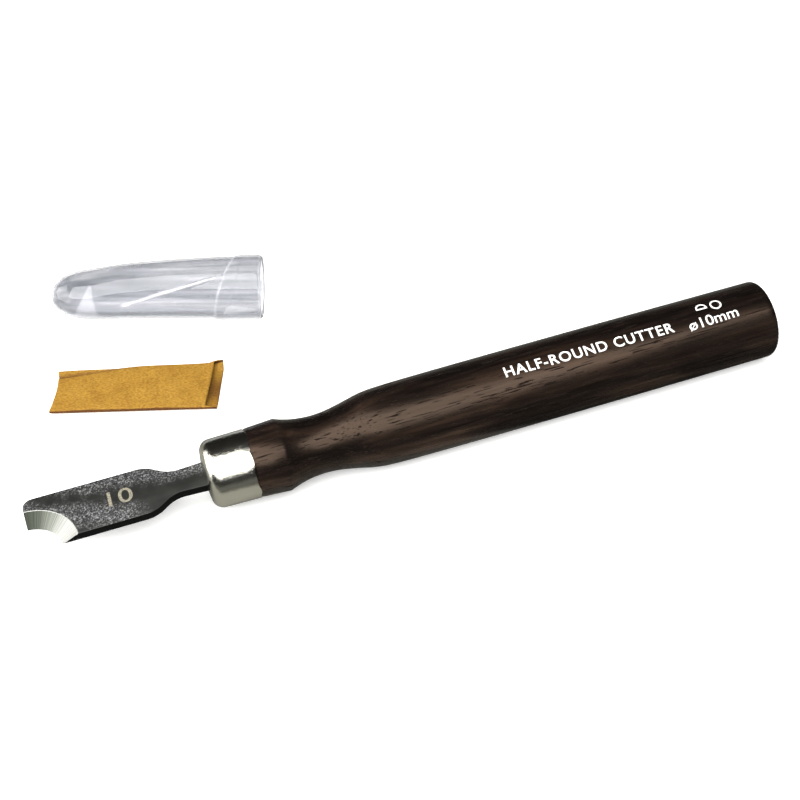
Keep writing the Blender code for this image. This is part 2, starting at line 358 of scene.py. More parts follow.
def turn(profile):
    """The profile, in millimetres, spun once round the tool's axis."""
    shape = bmesh.new()
    points = [shape.verts.new((FERRULE_FRONT + x * MM, 0.0, r * MM)) for x, r in profile]
    edges = [shape.edges.new(pair) for pair in zip(points, points[1:])]
    bmesh.ops.spin(
        shape, geom=points + edges, cent=(0, 0, 0), axis=(1, 0, 0),
        angle=math.tau, steps=TURNING_STEPS, use_merge=True)
    bmesh.ops.remove_doubles(shape, verts=shape.verts, dist=1e-6)
    bmesh.ops.recalc_face_normals(shape, faces=shape.faces)
    return shape


handle = add_piece("handle_turned", turn(handle_profile()), "tool", "handle")
smooth_shade(handle)

# %% [markdown]
# ## Dark wood
#
# The handle is a dense dark hardwood, turned, sanded and oiled. Three patterns sit on each other,
# all drawn out along the grain: broad figure that goes from nearly black to dark brown, fine
# streaks, and pores, which are dark dashes about four millimetres long and a fifth of one wide.
# One Mapping node for each run length squeezes the space along X, which draws a noise out.
# The oil gives a soft brown sheen rather than a gloss, so the reflection is tinted.

# %% Dark wood
def dark_wood():
    wood, add, shader, place = new_finish(
        "oiled_dark_hardwood", Specular_IOR_Level=0.38, Specular_Tint=linear("E0BFA6"))
    spaces = {run: add("Mapping", {"Scale": (1 / run, 1, 1)}, {"Vector": place}) for run in (9, 20, 26)}
    figure = add(
        "TexNoise", {"Scale": per(2.4 * MM), "Detail": 3.0, "Distortion": 0.4}, {"Vector": spaces[9]})
    streaks = add(
        "TexNoise", {"Scale": per(0.55 * MM), "Detail": 4.0, "Roughness": 0.65}, {"Vector": spaces[26]})
    pores = add("TexNoise", {"Scale": per(0.19 * MM), "Detail": 1.0}, {"Vector": spaces[20]})
    tone = add(
        "ValToRGB", {"stops": [(0.38, "0D0A09"), (0.52, "1A1310"), (0.66, "2D221B")]}, {"Fac": figure})
    streaked = add("ValToRGB", {"stops": [(0.3, "8A8480"), (0.65, "FFFFFF")]}, {"Fac": streaks})
    toned = add("Mix", MULTIPLY, {6: tone, 7: streaked})
    open_pores = add("MapRange", {"From Min": 0.63, "From Max": 0.66}, {"Value": pores})
    colour = add("Mix", {"data_type": "RGBA", 7: "0B0807"}, {0: open_pores, 6: toned})
    sheen = add(
        "MapRange", {"From Min": 0.3, "From Max": 0.7, "To Min": 0.36, "To Max": 0.22}, {"Value": streaks})
    dull = add("Math", {"operation": "MAXIMUM"}, {0: sheen, 1: open_pores})
    dent = add("Bump", {"Strength": 1.0, "Distance": 0.05 * MM, "invert": True}, {"Height": open_pores})
    feed(shader, Base_Color=colour, Roughness=dull, Normal=dent)
    return wood


handle.data.materials.append(dark_wood())

# %% [markdown]
# ## Printed marks on the handle
#
# The handle carries a white screen-printed legend. Here it says only what the tool is and the
# width of its cut, with two plain signs for half and round. Letters start as a flat text curve,
# which becomes a thin closed mesh. The mesh is then sliced into narrow strips, so that it can
# bend, and each of its points is laid on the turned surface.

# %% Letters as thin bodies
INK = 0.03 * MM
CAPITAL_SHARE = 0.71          # height of a capital letter in the built-in font at size 1


def letters(words, height, spacing, weight):
    """A bmesh of closed letters of this capital height, from the origin along +X."""
    curve = bpy.data.curves.new("letters", "FONT")
    curve.body = words
    curve.space_character = spacing
    curve.extrude = 0.5
    curve.offset = weight
    curve.resolution_u = 5
    text = bpy.data.objects.new("letters", curve)
    bpy.context.scene.collection.objects.link(text)
    bpy.context.view_layer.update()
    mesh = bpy.data.meshes.new_from_object(text.evaluated_get(bpy.context.evaluated_depsgraph_get()))
    bpy.data.objects.remove(text, do_unlink=True)
    shape = bmesh.new()
    shape.from_mesh(mesh)
    bpy.data.meshes.remove(mesh)
    bmesh.ops.remove_doubles(shape, verts=shape.verts, dist=1e-5)
    size = height / CAPITAL_SHARE
    bmesh.ops.scale(shape, verts=shape.verts, vec=(size, size, INK))
    bmesh.ops.recalc_face_normals(shape, faces=shape.faces)
    return shape


def across(shape):
    """The x range of a shape."""
    reach = [vert.co.x for vert in shape.verts]
    return min(reach), max(reach)


# %% Laying print on the turned body
STRIP = 0.2 * MM


def wrap_on_handle(shape, station, rise, lean=0.0):
    """Bends a flat shape onto the handle: x from this station in mm, y up from this rise in degrees.

    The rise is measured from the near side of the handle over its top, and lean is its change
    for each millimetre along the tool.
    """
    low, high = min(v.co.y for v in shape.verts), max(v.co.y for v in shape.verts)
    for strip in range(1, int((high - low) / STRIP) + 1):
        bmesh.ops.bisect_plane(
            shape, geom=shape.verts[:] + shape.edges[:] + shape.faces[:],
            plane_co=(0, low + strip * STRIP, 0), plane_no=(0, 1, 0))
    for vert in shape.verts:
        along, up, above = vert.co
        radius = curve_height(BODY, station + along / MM) * MM
        angle = math.radians(rise + lean * along / MM) + up / radius
        radius += above + INK / 4
        x = FERRULE_FRONT + station * MM + along
        vert.co = (x, -radius * math.cos(angle), radius * math.sin(angle))
    return shape


# %% The legend
PRINT_HEIGHT = 1.75 * MM


def print_words(name, words, stations, rise, lean, spacing, weight):
    """Words on the handle from one station to the other, stretched to fill that space."""
    shape = letters(words, PRINT_HEIGHT, spacing, weight)
    start, end = across(shape)
    stretch = (stations[1] - stations[0]) * MM / (end - start)
    bmesh.ops.translate(shape, verts=shape.verts, vec=(-start, 0, 0))
    bmesh.ops.scale(shape, verts=shape.verts, vec=(stretch, 1, 1))
    return add_piece(name, wrap_on_handle(shape, stations[0], rise, lean), "tool")


legend = print_words(
    "printed_legend", "HALF-ROUND CUTTER", (48.5, 76.8), rise=66.2, lean=-0.11, spacing=1.12, weight=0.012)
size_mark = print_words(
    "printed_size", "ø10mm", (79.3, 87.8), rise=57.7, lean=0.28, spacing=1.0, weight=0.005)

# %% [markdown]
# The two signs are drawn with one stroke each. A short bar spun about a centre leaves a ring, and
# spun half-way it leaves an arch, which a straight bar closes.

# %% The half and round signs
SIGN = 1.9 * MM
STROKE = 0.26 * MM
NEXT_SIGN = SIGN * 1.3


def stroke_ring(shape, left, sweep, steps):
    """A flat ring or arch that starts at x = left: a bar across the stroke, spun by this sweep."""
    outer, middle = SIGN / 2, left + SIGN / 2
    bar = [shape.verts.new((middle + r, SIGN / 2, 0)) for r in (outer - STROKE, outer)]
    edge = shape.edges.new(bar)
    bmesh.ops.spin(
        shape, geom=bar + [edge], cent=(middle, SIGN / 2, 0), axis=(0, 0, 1),
        angle=sweep, steps=steps, use_merge=sweep == math.tau)


signs = bmesh.new()
stroke_ring(signs, 0.0, math.pi, 16)
base = [signs.verts.new((x, y, 0)) for x, y in (
    (0, SIGN / 2 - STROKE), (SIGN, SIGN / 2 - STROKE), (SIGN, SIGN / 2), (0, SIGN / 2))]
signs.faces.new(base)
stroke_ring(signs, NEXT_SIGN, math.tau, 32)
raised = bmesh.ops.extrude_face_region(signs, geom=signs.faces[:])["geom"]
bmesh.ops.translate(
    signs, verts=[part for part in raised if isinstance(part, bmesh.types.BMVert)], vec=(0, 0, INK))
bmesh.ops.translate(signs, verts=signs.verts, vec=(0, 0, -INK / 2))
bmesh.ops.recalc_face_normals(signs, faces=signs.faces)
signs = add_piece("printed_signs", wrap_on_handle(signs, station=81.6, rise=79.5), "tool")

# %% [markdown]
# Screen ink is a matt white film of slightly uneven thickness, so its tone varies a little.

# %% White ink
white_ink, add, shader, place = new_finish("white_screen_ink", Roughness=0.55, Specular_IOR_Level=0.35)
thin = add("TexNoise", {"Scale": per(0.4 * MM), "Detail": 3.0}, {"Vector": place})
ink_tone = add("Mix", {"data_type": "RGBA", 6: "DAD7D2", 7: "F3F2EF"}, {0: thin})
feed(shader, Base_Color=ink_tone)
for piece in (legend, size_mark, signs):
    piece.data.materials.append(white_ink)

# %% [markdown]
# ## Ferrule
#
# The ferrule is a thin cup drawn from sheet metal, pressed over the end of the wood. Its front is
# slightly domed with a wide rounded edge, and the tang comes through a slot in it. Its rim was
# never trimmed, so it waves a little. It is turned from its wall's profile, outside and inside in
# one line, the rim is waved afterwards, and a small cutter opens the slot.

# %% Ferrule shape
FERRULE_LENGTH = 7.8
FRONT_RADIUS, RIM_RADIUS = 5.42, 5.53
FERRULE_WALL = 0.45
FILLET = 1.8
DOME = 0.25
RIM_WAVE, WAVE_REACH = 0.2, 2.0    # how far the rim waves, and over which length behind it
RIM_ROLL = 0.09                    # radius of the worn edge at the rim


def ferrule_profile():
    flat = FRONT_RADIUS - FILLET
    shoulder = (DOME + FILLET, flat)
    rim = (FERRULE_LENGTH - RIM_ROLL, RIM_RADIUS - RIM_ROLL)
    outside = [(0.0, 0.0), (DOME * 0.08, flat * 0.3), (DOME * 0.3, flat * 0.6), (DOME * 0.65, flat * 0.85)]
    outside += arc(shoulder, FILLET, 180, 90, 20)
    outside += arc(rim, RIM_ROLL, 90, 0, 4)
    inside = [(FERRULE_LENGTH, RIM_RADIUS - FERRULE_WALL)]
    inside += arc(shoulder, FILLET - FERRULE_WALL, 90, 180, 10)
    return outside + inside + [(DOME * 0.3 + FERRULE_WALL, flat * 0.6), (FERRULE_WALL, 0.0)]


shape = turn(ferrule_profile())
long_edges = [e for e in shape.edges if abs(e.verts[0].co.x - e.verts[1].co.x) > 3 * MM]
bmesh.ops.subdivide_edges(shape, cuts=3, edges=long_edges)
for vert in shape.verts:
    behind = (vert.co.x - FERRULE_FRONT) / MM - (FERRULE_LENGTH - WAVE_REACH)
    if behind > 0:
        angle = math.atan2(vert.co.z, vert.co.y)
        wave = 1 + 0.6 * math.sin(3 * angle) + 0.4 * math.sin(7 * angle + 1) + 0.25 * math.sin(13 * angle)
        vert.co.x -= RIM_WAVE * MM * wave * (behind / WAVE_REACH) ** 3
ferrule = add_piece("ferrule_drawn_cup", shape, "tool", "ferrule")
smooth_shade(ferrule)

# %% [markdown]
# The slot is cut by a Boolean with a bar a little larger than the tang. The result is kept as the
# piece's own mesh and the bar is thrown away, so the piece is one clean body.

# %% Tang slot
SLOT_DEPTH = 4.0
TANG_AT_FERRULE = (4.9, 1.4)
SLOT_PLAY = 0.25


def cut_away(piece, cutter_shape):
    """Cuts the shape out of the piece for good."""
    cutter = add_piece("cutter", cutter_shape, None)
    cut = piece.modifiers.new("cut", "BOOLEAN")
    cut.operation = "DIFFERENCE"
    cut.object = cutter
    graph = bpy.context.evaluated_depsgraph_get()
    bpy.context.view_layer.update()
    result = bpy.data.meshes.new_from_object(piece.evaluated_get(graph))
    piece.modifiers.clear()
    piece.data = result
    bpy.data.objects.remove(cutter, do_unlink=True)


shape = bmesh.new()
bmesh.ops.create_cube(shape, size=1.0)
slot_width, slot_height = [(size + SLOT_PLAY) * MM for size in TANG_AT_FERRULE]
bmesh.ops.scale(shape, verts=shape.verts, vec=(SLOT_DEPTH * MM, slot_width, slot_height))
bmesh.ops.translate(shape, verts=shape.verts, vec=(FERRULE_FRONT, 0, 0))
cut_away(ferrule, shape)
print("ferrule with its slot:", len(ferrule.data.polygons), "faces")

# %% [markdown]
# ## Nickel
#
# The ferrule is brass plated with bright nickel. Nickel is a warm grey mirror. Drawing leaves the
# sheet very slightly wavy, which makes the borders of reflections wander, and handling adds a haze
# of fine scratches. A metal takes its colour from its base colour and keeps the usual IOR.

# %% Nickel plate
def nickel_plate():
    nickel, add, shader, place = new_finish("bright_nickel_plate", Metallic=1.0)
    around = add("Mapping", {"Scale": (2, 1, 1)}, {"Vector": place})
    cloud = add("TexNoise", {"Scale": per(2.2 * MM), "Detail": 3.0, "Roughness": 0.6}, {"Vector": place})
    scratches = add(
        "TexNoise", {"Scale": per(0.4 * MM), "Detail": 5.0, "Roughness": 0.7}, {"Vector": around})
    tone = add("Mix", {"data_type": "RGBA", 6: "D2CFC1", 7: "DEDBD0"}, {0: cloud})
    haze = add(
        "MapRange", {"From Min": 0.3, "From Max": 0.7, "To Min": 0.13, "To Max": 0.23},
        {"Value": scratches})
    sheet = add("Bump", {"Strength": 1.0, "Distance": 0.05 * MM}, {"Height": cloud})
    marks = add("Bump", {"Strength": 0.5, "Distance": 0.045 * MM}, {"Height": scratches, "Normal": sheet})
    feed(shader, Base_Color=tone, Roughness=haze, Normal=marks)
    return nickel


ferrule.data.materials.clear()
ferrule.data.materials.append(nickel_plate())

# %% [markdown]
# ## Blade
#
# Blade and tang are one piece of carbon steel, forged flat and left dark, with a quarter of a
# 10 mm circle ground into its corner for the cutting edge. The CAD mesh already has the outline
# and the hollow bevel, so a copy of it is merged and tidied: flat faces are joined into one, the
# edges of the flats are eased by a tiny bevel as grinding does, and the faces are sorted into
# forged flats and the ground bevel. The cutting edge itself stays sharp.

# %% Blade shape
EASED_EDGE = 0.07 * MM
NOTCH_CENTRE = Vector((FERRULE_FRONT - 27.65 * MM, -5.15 * MM))
NOTCH_RADIUS = 5.0 * MM
BEVEL_REACH = 2.6 * MM
NEAR_ENOUGH = 0.15 * MM

shape = bmesh.new()
shape.from_mesh(frame["nodes"]["blade"].data)
bmesh.ops.remove_doubles(shape, verts=shape.verts, dist=1e-6)
bmesh.ops.dissolve_limit(
    shape, angle_limit=math.radians(1.0), verts=shape.verts, edges=shape.edges, delimit=set())
half = (BLADE_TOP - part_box("blade")[0].z) / 2


def on_level(edge, z):
    return all(abs(vert.co.z - z) < 1e-5 for vert in edge.verts)


def near_notch(edge):
    """Whether an edge is part of the ground hollow."""
    reach = [(vert.co.xy - NOTCH_CENTRE).length for vert in edge.verts]
    return max(reach) < NOTCH_RADIUS + BEVEL_REACH + NEAR_ENOUGH


flat_edges = [
    edge for edge in shape.edges
    if (on_level(edge, half) or on_level(edge, -half)) and not near_notch(edge)
    and len(edge.link_faces) == 2 and edge.calc_face_angle(0.0) > math.radians(30)]
bmesh.ops.bevel(
    shape, geom=flat_edges, offset=EASED_EDGE, offset_type="OFFSET", affect="EDGES",
    segments=3, profile=0.5, material=-1, clamp_overlap=True)
for face in shape.faces:
    middle = face.calc_center_median()
    reach = (middle.xy - NOTCH_CENTRE).length
    ground = 0.2 < face.normal.z < 0.97 and NOTCH_RADIUS < reach < NOTCH_RADIUS + BEVEL_REACH
    upright = abs(face.normal.z) < 0.5 and not ground
    face.material_index = 1 if ground else 2 if upright else 0
    face.smooth = ground
print(len(flat_edges), "edges eased,", sum(f.material_index == 1 for f in shape.faces), "ground faces")
blade = add_piece("blade_forged", shape, "tool", "blade")
blade.data.set_sharp_from_angle(angle=math.radians(30))

# %% [markdown]
# ## Forged steel
#
# The flats keep the dark skin of the forge. Two diagonal streaks of it are pitted, with black pits
# of about a quarter of a millimetre and light grey specks between them, which are painted glints.
# One streak follows the far edge into the tang, the other starts at the cutting edge and follows
# the near edge. Between them the skin is smooth and dark. The streaks are placed by their distance
# from two slanted lines.

# %% Forged skin
RAGGED = 1.8 * MM


def forged_skin():
    steel, add, shader, place = new_finish("forged_steel_skin", Metallic=0.25)
    at_ferrule = add(
        "Mapping", {"vector_type": "TEXTURE", "Location": (FERRULE_FRONT, 0, 0)}, {"Vector": place})
    edge_noise = add("TexNoise", {"Scale": per(2.5 * MM), "Detail": 3.0}, {"Vector": at_ferrule})
    parts = add("SeparateXYZ", links={0: at_ferrule})

    def streak(across_line, offset, width, fade):
        """Mask of a streak: how near a point is to a slanted line, with a ragged border and a faded end."""
        away = add("VectorMath", {"operation": "DOT_PRODUCT", 1: across_line}, {0: at_ferrule})
        offset_away = add("Math", {"operation": "SUBTRACT", 1: offset}, {0: away})
        size = add("Math", {"operation": "ABSOLUTE"}, {0: offset_away})
        ragged = add("Math", {"operation": "MULTIPLY_ADD", 1: -2 * RAGGED, 2: RAGGED}, {0: edge_noise})
        total = add("Math", {"operation": "ADD"}, {0: size, 1: ragged})
        near = add("MapRange", {"From Min": width, "From Max": width * 0.3}, {"Value": total})
        along = add("MapRange", {"From Min": fade[0], "From Max": fade[1]}, {"Value": parts.outputs["X"]})
        return add("Math", {"operation": "MULTIPLY"}, {0: near, 1: along})

    far_streak = streak((0.13, 0.992, 0.0), 1.75 * MM, 2.3 * MM, (-25 * MM, -18 * MM))
    near_streak = streak((0.33, 0.944, 0.0), -7.6 * MM, 3.1 * MM, (-8.5 * MM, -13 * MM))
    streaks = add("Math", {"operation": "MAXIMUM"}, {0: far_streak, 1: near_streak})
    specks = add(
        "TexNoise", {"Scale": per(0.26 * MM), "Detail": 3.0, "Roughness": 0.7}, {"Vector": at_ferrule})
    # black pits, with light grey specks between them that are painted glints
    pits_and_painted_glints = add(
        "ValToRGB", {"stops": [(0.42, "131312"), (0.54, "4C4C4C"), (0.66, "989896")]}, {"Fac": specks})
    smooth_skin = add("ValToRGB", {"stops": [(0.35, "181815"), (0.7, "242421")]}, {"Fac": edge_noise})
    skin = add("Mix", {"data_type": "RGBA"}, {0: streaks, 6: smooth_skin, 7: pits_and_painted_glints})
    rough = add("MapRange", {"To Min": 0.42, "To Max": 0.62}, {"Value": specks})
    depth = add("Math", {"operation": "MULTIPLY"}, {0: specks, 1: streaks})
    pits = add("Bump", {"Strength": 1.0, "Distance": 0.03 * MM}, {"Height": depth})
    feed(shader, Base_Color=skin, Roughness=rough, Normal=pits)
    return steel


# %% [markdown]
# The bevel was hollow-ground and honed, so it is bare bright steel with fine lines that run from
# the face down to the edge. The lines follow the angle about the centre of the hollow, which the
# arctangent of a point's place gives. Its colour goes from dark grey towards the end of the blade
# to light grey towards the near point, as a painted reflection, and a thin light line along the
# outer arc is a painted highlight.

# %% Ground bevel
def ground_bevel():
    steel, add, shader, place = new_finish("ground_steel_bevel", Metallic=1.0)
    at_notch = add("Mapping", {"vector_type": "TEXTURE", "Location": (*NOTCH_CENTRE, 0)}, {"Vector": place})
    parts = add("SeparateXYZ", links={0: at_notch})
    angle = add("Math", {"operation": "ARCTAN2"}, {0: parts.outputs["Y"], 1: parts.outputs["X"]})
    # one line every 0.12 mm at the edge's radius
    lines = add(
        "TexNoise",
        {"noise_dimensions": "1D", "Scale": NOTCH_RADIUS / (0.12 * MM), "Detail": 3.0, "Roughness": 0.6},
        {"W": angle})
    # painted reflection: the bevel is darker towards the end of the blade and lighter towards the near
    # point
    painted_brightness = add("MapRange", {"From Min": math.radians(90), "From Max": math.radians(5)}, {"Value": angle})
    painted_dark_to_bright = [(0.0, "2A2C26"), (0.25, "3C3F38"), (0.5, "6A6C65"), (0.8, "B0B0AB")]
    grey = add("ValToRGB", {"stops": painted_dark_to_bright}, {"Fac": painted_brightness})
    radius = add("VectorMath", {"operation": "LENGTH"}, {0: at_notch})
    bevel_end = NOTCH_RADIUS + BEVEL_REACH
    # painted highlight: a thin light line along the outer arc of the bevel
    painted_edge_highlight = add(
        "MapRange", {"From Min": bevel_end - 0.06 * MM, "From Max": bevel_end - 0.03 * MM},
        {"Value": radius})
    edged = add("Mix", {"data_type": "RGBA", 7: "9A9A96"}, {0: painted_edge_highlight, 6: grey})
    lined = add(
        "MapRange", {"From Min": 0.35, "From Max": 0.65, "To Min": 0.55, "To Max": 1.05}, {"Value": lines})
    colour = add("VectorMath", {"operation": "SCALE"}, {0: edged, "Scale": lined})
    rough = add("MapRange", {"To Min": 0.36, "To Max": 0.5}, {"Value": lines})
    grooves = add("Bump", {"Strength": 0.6, "Distance": 0.004 * MM}, {"Height": lines})
    feed(shader, Base_Color=colour, Roughness=rough, Normal=grooves)
    return steel


# %% [markdown]
# The sides of the blade were filed after forging and then blackened with oil in the heat, so they
# are the darkest part: nearly black, with the faint long lines of the file.

# %% Oil-black sides
def oil_black():
    steel, add, shader, place = new_finish("oil_blackened_steel", Specular_IOR_Level=0.06)
    along = add("Mapping", {"Scale": (0.1, 1, 1)}, {"Vector": place})
    filed = add("TexNoise", {"Scale": per(0.15 * MM), "Detail": 3.0}, {"Vector": along})
    tone = add("Mix", {"data_type": "RGBA", 6: "030303", 7: "0A0A09"}, {0: filed})
    rough = add("MapRange", {"To Min": 0.4, "To Max": 0.6}, {"Value": filed})
    feed(shader, Base_Color=tone, Roughness=rough)
    return steel


for finish in (forged_skin(), ground_bevel(), oil_black()):
    blade.data.materials.append(finish)

# %% [markdown]
# ## Etched mark
#
# Makers etch a small mark into the flat. Here it is only the width of the cut, 10. Etching leaves
# a frosted, beige film, so the mark is made like the print on the handle, much thinner, and laid
# on the flat without bending.

# %% Etched mark
MARK_CENTRE = Vector((FERRULE_FRONT - 12.9 * MM, 0.25 * MM))
MARK_HEIGHT = 2.9 * MM
MARK_STRETCH = (1.2, 1.0, 0.4)     # wider than the font's figures, and a thinner film than the ink
mark = letters("10", MARK_HEIGHT, 1.0, 0.004)
start, end = across(mark)
bmesh.ops.translate(mark, verts=mark.verts, vec=(-(start + end) / 2, -MARK_HEIGHT / 2, 0))
bmesh.ops.scale(mark, verts=mark.verts, vec=MARK_STRETCH)
bmesh.ops.translate(mark, verts=mark.verts, vec=(*MARK_CENTRE, BLADE_TOP + 0.002 * MM))
mark = add_piece("etched_size", mark, "tool")
etch, add, shader, place = new_finish("frosted_etch", Roughness=0.7, Metallic=0.1)
frost = add("TexNoise", {"Scale": per(0.25 * MM), "Detail": 4.0, "Roughness": 0.7}, {"Vector": place})
etch_tone = add("ValToRGB", {"stops": [(0.36, "524E44"), (0.5, "7E7969"), (0.7, "918B7A")]}, {"Fac": frost})
feed(shader, Base_Color=etch_tone)
mark.data.materials.append(etch)

# %% [markdown]
# ## Cap
#
# The cap is dip-moulded from soft clear vinyl: one skin, a third of a millimetre thick, round at
# the mouth and squeezed flatter towards its rounded tip. A slightly wider collar at the mouth
# stretches over the ferrule; it was dipped slantwise, so its step runs slantwise round the cap.
# Storage has left a pinched crease on the near side, and a sail-shaped patch near the tip holds a
# painted reflection.
#
# It starts as a straight tube of unit radius, made by extruding a circle ring by ring. One function
# then moves each point to its width, height and level, another says how white the vinyl is there and
# where highlights and a reflection are painted, and a Solidify modifier adds the wall. Reaches are
# millimetres from the mouth, and angles go round from the far side over the top.

# %% A tube to shape
def unit_tube(stations, steps):
    """Rings of radius 1 at these x stations, joined into a tube along X."""
    shape = bmesh.new()
    ring = bmesh.ops.create_circle(shape, cap_ends=False, segments=steps, radius=1.0)["verts"]
    onto_x = Matrix(((0, 0, 1), (1, 0, 0), (0, 1, 0)))
    bmesh.ops.transform(shape, verts=ring, matrix=onto_x.to_4x4())
    bmesh.ops.translate(shape, verts=ring, vec=(stations[0], 0, 0))
    edges = shape.edges[:]
    for before, after in zip(stations, stations[1:]):
        made = bmesh.ops.extrude_edge_only(shape, edges=edges)["geom"]
        ring = {part for part in made if isinstance(part, bmesh.types.BMVert)}
        edges = [part for part in made if isinstance(part, bmesh.types.BMEdge) and set(part.verts) <= ring]
        bmesh.ops.translate(shape, verts=list(ring), vec=(after - before, 0, 0))
    return shape, list(ring)


def add_wall(piece, thickness):
    """Gives a shell a wall of this many millimetres, inwards."""
    wall = piece.modifiers.new("wall", "SOLIDIFY")
    wall.thickness = thickness * MM
    wall.offset = -1.0


# %% Cap shape
CAP_WALL = 0.3
CAP_RADIUS = 5.68
CAP_LENGTH = 37.5
CAP_HALF_WIDTH = [(0, 5.68), (8, 5.36), (16, 5.10), (23.5, 5.00), (29.5, 4.92), (33, 4.55),
                  (35.3, 3.60), (36.6, 2.50), (37.25, 1.35), (37.5, 0.0)]
CAP_HALF_HEIGHT = [(0, 5.68), (8, 5.44), (16, 5.20), (23.5, 4.80), (29.5, 4.20), (33, 3.82),
                   (35.3, 3.10), (36.6, 2.15), (37.25, 1.20), (37.5, 0.0)]
CAP_LEVEL = [(0, 5.68), (8, 5.49), (16, 5.25), (23.5, 4.82), (29.5, 4.22), (33, 4.02),
             (35.3, 3.95), (37.5, 3.90)]
COLLAR_PROUD = 0.2
MOUTH_SLANT = (0.085, -0.078)   # the mouth is trimmed a little out of square
COLLAR_END, COLLAR_SLANT = 5.9, 1.7
COLLAR_FACES = 45               # the angle at which the collar is shortest
CREASE = ((7.1, 121.0), (23.3, 168.0))    # the reach and the angle of its two ends
CREASE_HEIGHT, CREASE_WIDTH = 0.2, 0.2
PATCH_TOP, PATCH_DROP, PATCH_BOTTOM = 114, 81, 196   # angles of the patch of painted reflection
PATCH_REACH = 29.3              # its top corner, from which it spreads towards mouth and tip
PATCH_SPREAD = (1.1, 3.4)


def ease(value, start, end):
    """0 before start, 1 after end, smooth between."""
    t = min(max((value - start) / (end - start), 0.0), 1.0)
    return t * t * (3 - 2 * t)


def crease_lift(reach, angle):
    """Height of the pinched line that runs slantwise over the near side."""
    (reach_a, angle_a), (reach_b, angle_b) = CREASE
    share = (reach - reach_a) / (reach_b - reach_a)
    away = math.radians(angle - (angle_a + (angle_b - angle_a) * share)) * 5.0
    ends = ease(share, -0.06, 0.08) * (1 - ease(share, 0.97, 1.06))
    width = CREASE_WIDTH * (1 + 0.9 * ease(share, 0.88, 0.97))
    return CREASE_HEIGHT * ends * math.exp(-(away / width) ** 2)


def collar_end_at(angle):
    """How far from the mouth the collar's step runs at this angle."""
    return COLLAR_END - COLLAR_SLANT * math.cos(angle - math.radians(COLLAR_FACES))


def painted_reflection_patch(reach, turn):
    """1 inside the sail-shaped patch of painted reflection, widening down the near side, 0 outside it."""
    down = min(max((turn - PATCH_TOP) / PATCH_DROP, 0.0), 1.0)
    front, back = [PATCH_REACH + side * down for side in (-PATCH_SPREAD[0], PATCH_SPREAD[1])]
    lengthwise = ease(reach, front - 0.2, front) * (1 - ease(reach, back, back + 0.3))
    downwards = ease(turn, PATCH_TOP, PATCH_TOP + 4) * (1 - ease(turn, PATCH_BOTTOM, PATCH_BOTTOM + 8))
    return lengthwise * downwards


def whitening(reach, angle):
    """Crease whitening, with painted highlights at the collar's step and rim and a painted reflection."""
    turn = math.degrees(angle) % 360
    crease = crease_lift(reach, turn) / CREASE_HEIGHT
    # painted highlights: light lines along the collar's step and round the mouth's rim
    step = max(0.0, 1 - abs(reach - collar_end_at(angle)) / 0.3)
    rim = 1 - ease(reach, 0.15, 0.5)
    return max(0.8 * crease, 0.24 * step, 0.3 * rim, 0.25 * painted_reflection_patch(reach, turn))


def cap_point(reach, angle):
    """The place of a point of the cap's outside, in millimetres, in the cap's own frame."""
    collar_end = collar_end_at(angle)
    proud = COLLAR_PROUD * (1 - ease(reach, collar_end - 0.25, collar_end + 0.25))
    proud -= COLLAR_PROUD * (1 - ease(reach, 0, 8))
    proud += crease_lift(reach, math.degrees(angle) % 360)
    proud -= 0.45 * max(0.0, 1 - reach / 0.8) ** 2    # the lip of the mouth is rounded in
    width = curve_height(CAP_HALF_WIDTH, reach) + proud
    height = curve_height(CAP_HALF_HEIGHT, reach) + proud
    level = curve_height(CAP_LEVEL, reach) - CAP_RADIUS
    side, rise = width * math.cos(angle), max(level + height * math.sin(angle), -CAP_RADIUS)
    trim = MOUTH_SLANT[0] * (side - CAP_RADIUS) + MOUTH_SLANT[1] * rise
    return Vector((-reach - trim * (1 - ease(reach, 0, 6)), side, rise))


cap_axis = Vector(joints["cap_push"]["axis"])
CAP_TURN = math.atan2(cap_axis.y, cap_axis.x)
cap_low, cap_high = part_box("cap")
cap_mouth = Vector((
    cap_high.x - CAP_RADIUS * MM * abs(math.sin(CAP_TURN)),
    cap_low.y + CAP_RADIUS * MM * math.cos(CAP_TURN), TABLE + CAP_RADIUS * MM))
cap_place = Matrix.Translation(cap_mouth) @ Matrix.Rotation(CAP_TURN, 4, "Z")

# even rings as far as the tip, which starts at 93 % of the length, and closer ones round it
body_rings = [CAP_LENGTH * 0.93 * i / 140 for i in range(140)]
tip_rings = [CAP_LENGTH * (0.93 + 0.07 * math.sin(math.pi / 2 * i / 24)) for i in range(25)]
shape, last_ring = unit_tube([-reach for reach in body_rings + tip_rings], 224)
bmesh.ops.pointmerge(shape, verts=last_ring, merge_co=last_ring[0].co)
white_layer = shape.verts.layers.float.new("whitening")
for vert in shape.verts:
    reach, angle = -vert.co.x, math.atan2(vert.co.z, vert.co.y)
    vert[white_layer] = whitening(reach, angle)
    vert.co = cap_point(reach, angle) * MM
bmesh.ops.transform(shape, verts=shape.verts, matrix=cap_place)
bmesh.ops.recalc_face_normals(shape, faces=shape.faces)
cap = add_piece("cap_clear_vinyl", shape, "cap_body", "cap")
cap.data.shade_smooth()
add_wall(cap, CAP_WALL)
cap.visible_shadow = False    # light passes through the clear wall
